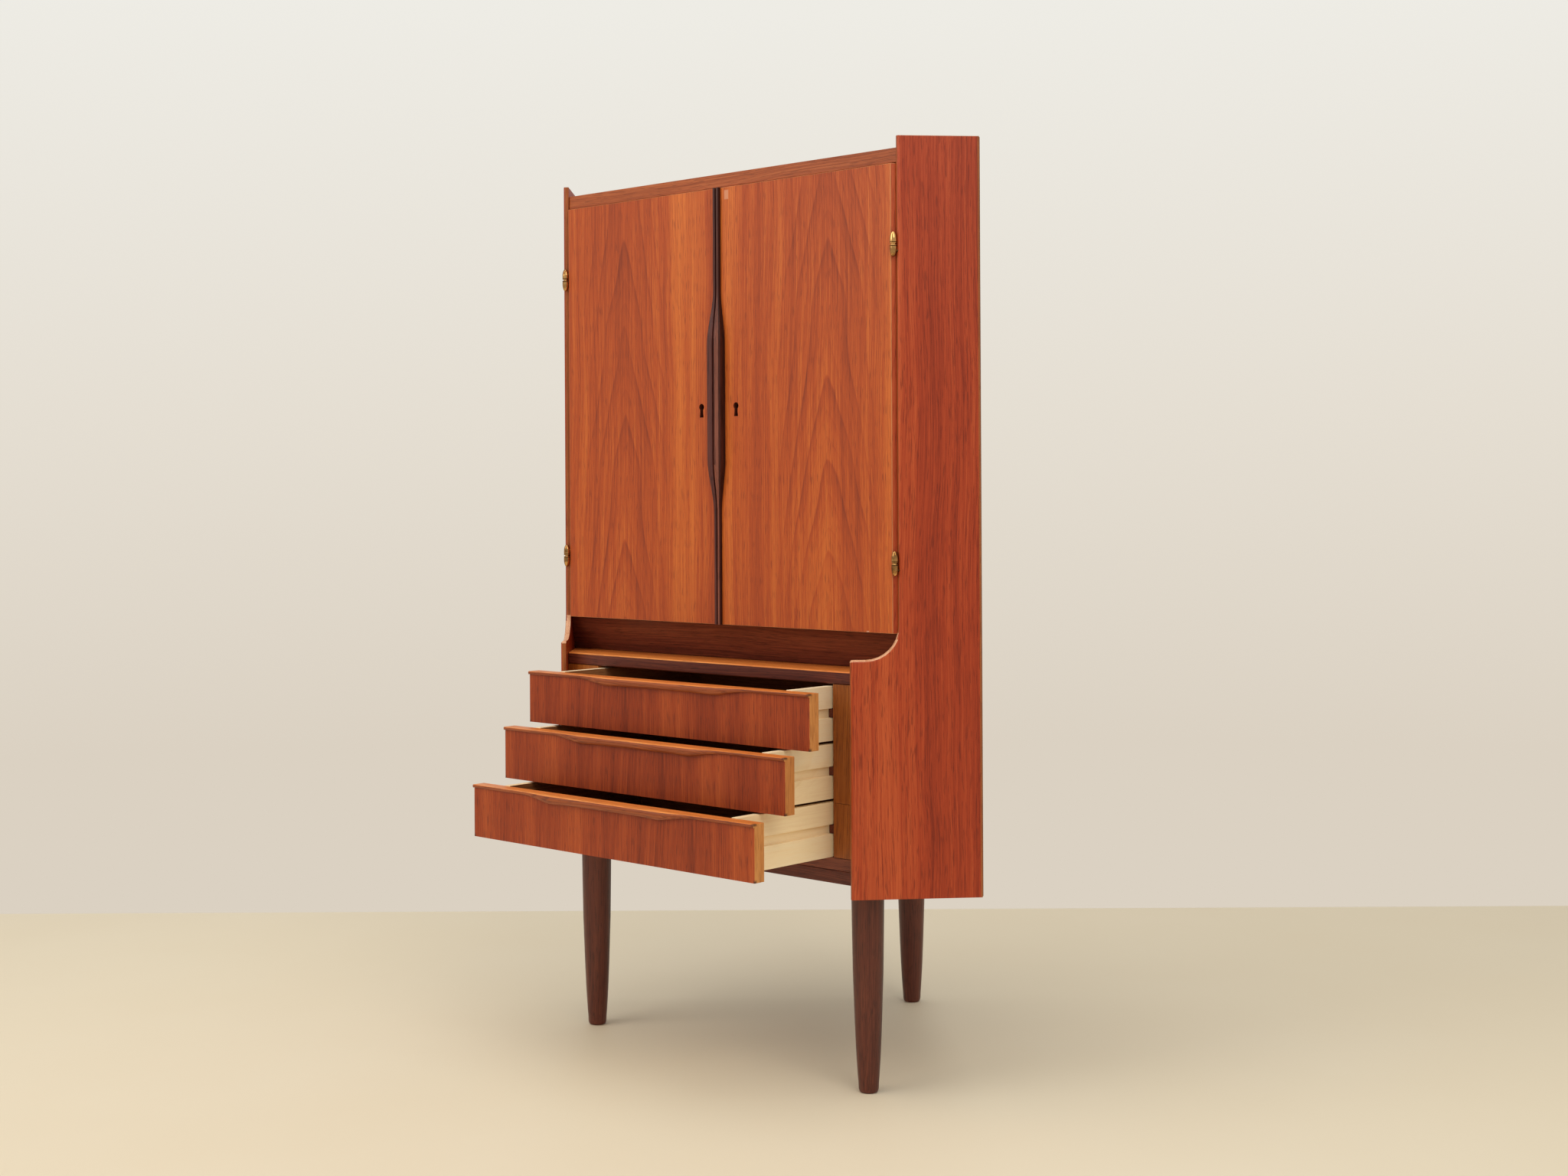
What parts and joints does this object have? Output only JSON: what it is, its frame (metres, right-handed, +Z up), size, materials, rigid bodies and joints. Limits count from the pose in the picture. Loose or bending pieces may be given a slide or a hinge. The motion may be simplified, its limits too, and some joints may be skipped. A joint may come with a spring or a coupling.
{
  "type": "corner cabinet with doors and drawers",
  "caption": "Teak corner cabinet with hinged doors over pulled-out drawers, flared sides, pointed back and tapered round legs.",
  "frame": {"origin": "on the floor, under the middle of the box around the whole cabinet with its drawers standing open as stored", "axes": "+X to the right along the front, +Y from the front towards the room corner, +Z up"},
  "size_m": [0.9186, 0.819, 1.45],
  "materials": {
    "teak": "oiled satin",
    "dark_teak": "oiled satin, dark",
    "stile_teak": "satin",
    "leg_wood": "dark stained satin",
    "rosewood": "oiled satin",
    "pine": "clear lacquer",
    "runner_wood": "waxed",
    "inner_wood": "satin",
    "back_ply": "raw plywood",
    "aged_brass": "aged"
  },
  "bodies": {
    "case": {"side_panel_right": "teak", "side_panel_left": "teak", "top_board": "teak", "cabinet_floor": "teak", "drawer_case_top": "teak", "bottom_board": "dark_teak", "bottom_rail": "dark_teak", "riser": "dark_teak", "runner_low_left": "runner_wood", "runner_low_right": "runner_wood", "runner_middle_left": "runner_wood", "runner_middle_right": "runner_wood", "runner_top_left": "runner_wood", "runner_top_right": "runner_wood", "inner_shelf_1": "inner_wood", "inner_shelf_2": "inner_wood", "partition_left": "inner_wood", "partition_right": "inner_wood", "door_stop": "inner_wood", "corner_post": "inner_wood", "stile_left_lower": "stile_teak", "stile_left_upper": "stile_teak", "stile_right_lower": "stile_teak", "stile_right_upper": "stile_teak", "back_panel_left": "back_ply", "back_panel_right": "back_ply", "leg_left": "leg_wood", "leg_right": "leg_wood", "leg_rear": "leg_wood", "hinge_left_high_panel": "aged_brass", "hinge_left_low_panel": "aged_brass", "hinge_right_high_panel": "aged_brass", "hinge_right_low_panel": "aged_brass"},
    "door_left": {"door_left": "teak", "door_pull_left": "rosewood", "lock_left": "aged_brass", "hinge_left_high_door": "aged_brass", "hinge_left_low_door": "aged_brass"},
    "door_right": {"door_right": "teak", "door_pull_right": "rosewood", "lock_right": "aged_brass", "hinge_right_high_door": "aged_brass", "hinge_right_low_door": "aged_brass"},
    "drawer_low": {"drawer_low_front": "teak", "drawer_low_side_left": "pine", "drawer_low_side_right": "pine", "drawer_low_back": "pine", "drawer_low_bottom": "pine"},
    "drawer_middle": {"drawer_middle_front": "teak", "drawer_middle_side_left": "pine", "drawer_middle_side_right": "pine", "drawer_middle_back": "pine", "drawer_middle_bottom": "pine"},
    "drawer_top": {"drawer_top_front": "teak", "drawer_top_side_left": "pine", "drawer_top_side_right": "pine", "drawer_top_back": "pine", "drawer_top_bottom": "pine"}
  },
  "joints": [
    {"name": "drawer_low_slide", "type": "slide", "parent": "case", "child": "drawer_low", "axis": [0, -1, 0], "range_m": [-0.2083, 0.0167]},
    {"name": "drawer_middle_slide", "type": "slide", "parent": "case", "child": "drawer_middle", "axis": [0, -1, 0], "range_m": [-0.1427, 0.0823]},
    {"name": "drawer_top_slide", "type": "slide", "parent": "case", "child": "drawer_top", "axis": [0, -1, 0], "range_m": [-0.089, 0.136]},
    {"name": "door_left_hinge", "type": "hinge", "parent": "case", "child": "door_left", "pos_m": [-0.37021, -0.14884, 1.0553], "axis": [0, 0, -1], "range_deg": [0, 110]},
    {"name": "door_right_hinge", "type": "hinge", "parent": "case", "child": "door_right", "pos_m": [0.37021, -0.14884, 1.0553], "axis": [0, 0, 1], "range_deg": [0, 110]}
  ]
}
